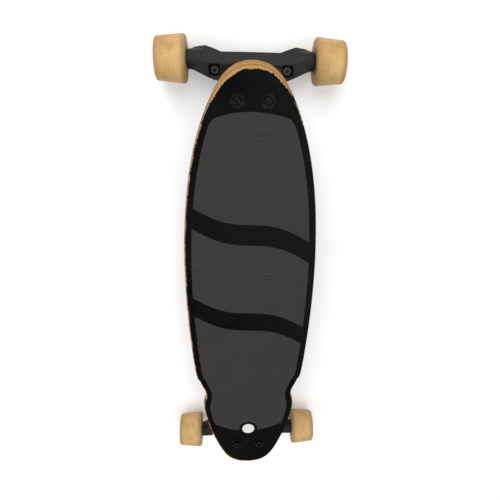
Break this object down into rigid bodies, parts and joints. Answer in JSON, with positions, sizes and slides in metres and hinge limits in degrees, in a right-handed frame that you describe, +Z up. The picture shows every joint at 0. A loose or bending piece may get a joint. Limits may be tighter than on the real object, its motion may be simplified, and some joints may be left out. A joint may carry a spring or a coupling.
{
  "type": "longboard skateboard",
  "caption": "Longboard with a laminated deck, grip sheets, sprung cast trucks that steer as it leans, and free spinning urethane wheels.",
  "frame": {"origin": "on the ground under the middle of the board", "axes": "+Z up, +Y towards the nose, +X to the rider's right facing the nose"},
  "size_m": [0.271, 0.783, 0.1203],
  "materials": {
    "deck": "black gloss lacquer over maple plies, tan plies bare at the edge",
    "grip": "matt fine-grit grip sheet",
    "badge": "plain white enamel",
    "riser": "black moulded plastic",
    "casting": "matt black painted casting",
    "steel": "zinc plated",
    "black_steel": "black oxide",
    "bushing": "brown urethane",
    "urethane": "aged cream urethane",
    "core": "moulded hub"
  },
  "bodies": {
    "board": {"deck": "deck", "grip_front": "grip", "grip_middle": "grip", "grip_rear": "grip", "badge_disc": "badge", "front_riser_pad": "riser", "front_baseplate": "casting", "front_kingpin": "steel", "front_kingpin_nut": "steel", "front_board_bushing": "bushing", "front_road_bushing": "bushing", "front_pivot_cup": "riser", "front_bolt_inner_left": "black_steel", "front_bolt_inner_right": "black_steel", "front_bolt_outer_left": "black_steel", "front_bolt_outer_right": "black_steel", "front_washer_outer_left": "black_steel", "front_washer_outer_right": "black_steel", "rear_riser_pad": "riser", "rear_baseplate": "casting", "rear_kingpin": "steel", "rear_kingpin_nut": "steel", "rear_board_bushing": "bushing", "rear_road_bushing": "bushing", "rear_pivot_cup": "riser", "rear_bolt_inner_left": "black_steel", "rear_bolt_inner_right": "black_steel", "rear_bolt_outer_left": "black_steel", "rear_bolt_outer_right": "black_steel", "rear_washer_outer_left": "black_steel", "rear_washer_outer_right": "black_steel"},
    "front_hanger_body": {"front_hanger": "casting", "front_axle": "steel", "front_axle_nut_left": "steel", "front_stop_buffer_left": "bushing", "front_axle_nut_right": "steel", "front_stop_buffer_right": "bushing"},
    "front_left_wheel": {"front_left_tyre": "urethane", "front_left_core": "core", "front_left_bearing_inner": "steel", "front_left_bearing_outer": "steel"},
    "front_right_wheel": {"front_right_tyre": "urethane", "front_right_core": "core", "front_right_bearing_inner": "steel", "front_right_bearing_outer": "steel"},
    "rear_hanger_body": {"rear_hanger": "casting", "rear_axle": "steel", "rear_axle_nut_left": "steel", "rear_stop_buffer_left": "bushing", "rear_axle_nut_right": "steel", "rear_stop_buffer_right": "bushing"},
    "rear_left_wheel": {"rear_left_tyre": "urethane", "rear_left_core": "core", "rear_left_bearing_inner": "steel", "rear_left_bearing_outer": "steel"},
    "rear_right_wheel": {"rear_right_tyre": "urethane", "rear_right_core": "core", "rear_right_bearing_inner": "steel", "rear_right_bearing_outer": "steel"}
  },
  "joints": [
    {"name": "front_steer", "type": "hinge", "parent": "board", "child": "front_hanger_body", "pos_m": [0, 0.3278, 0.062], "axis": [0, 0.766, 0.6428], "range_deg": [-18, 18], "stiffness_Nm_per_rad": 60, "deforming": ["front_board_bushing", "front_road_bushing"]},
    {"name": "front_left_spin", "type": "hinge", "parent": "front_hanger_body", "child": "front_left_wheel", "pos_m": [-0.11355, 0.3578, 0.0337], "axis": [1, 0, 0], "continuous": true},
    {"name": "front_right_spin", "type": "hinge", "parent": "front_hanger_body", "child": "front_right_wheel", "pos_m": [0.11355, 0.3578, 0.0337], "axis": [1, 0, 0], "continuous": true},
    {"name": "rear_steer", "type": "hinge", "parent": "board", "child": "rear_hanger_body", "pos_m": [0, -0.3278, 0.062], "axis": [0, -0.766, 0.6428], "range_deg": [-18, 18], "stiffness_Nm_per_rad": 60, "deforming": ["rear_board_bushing", "rear_road_bushing"]},
    {"name": "rear_left_spin", "type": "hinge", "parent": "rear_hanger_body", "child": "rear_left_wheel", "pos_m": [-0.11355, -0.3578, 0.0337], "axis": [1, 0, 0], "continuous": true},
    {"name": "rear_right_spin", "type": "hinge", "parent": "rear_hanger_body", "child": "rear_right_wheel", "pos_m": [0.11355, -0.3578, 0.0337], "axis": [1, 0, 0], "continuous": true}
  ]
}
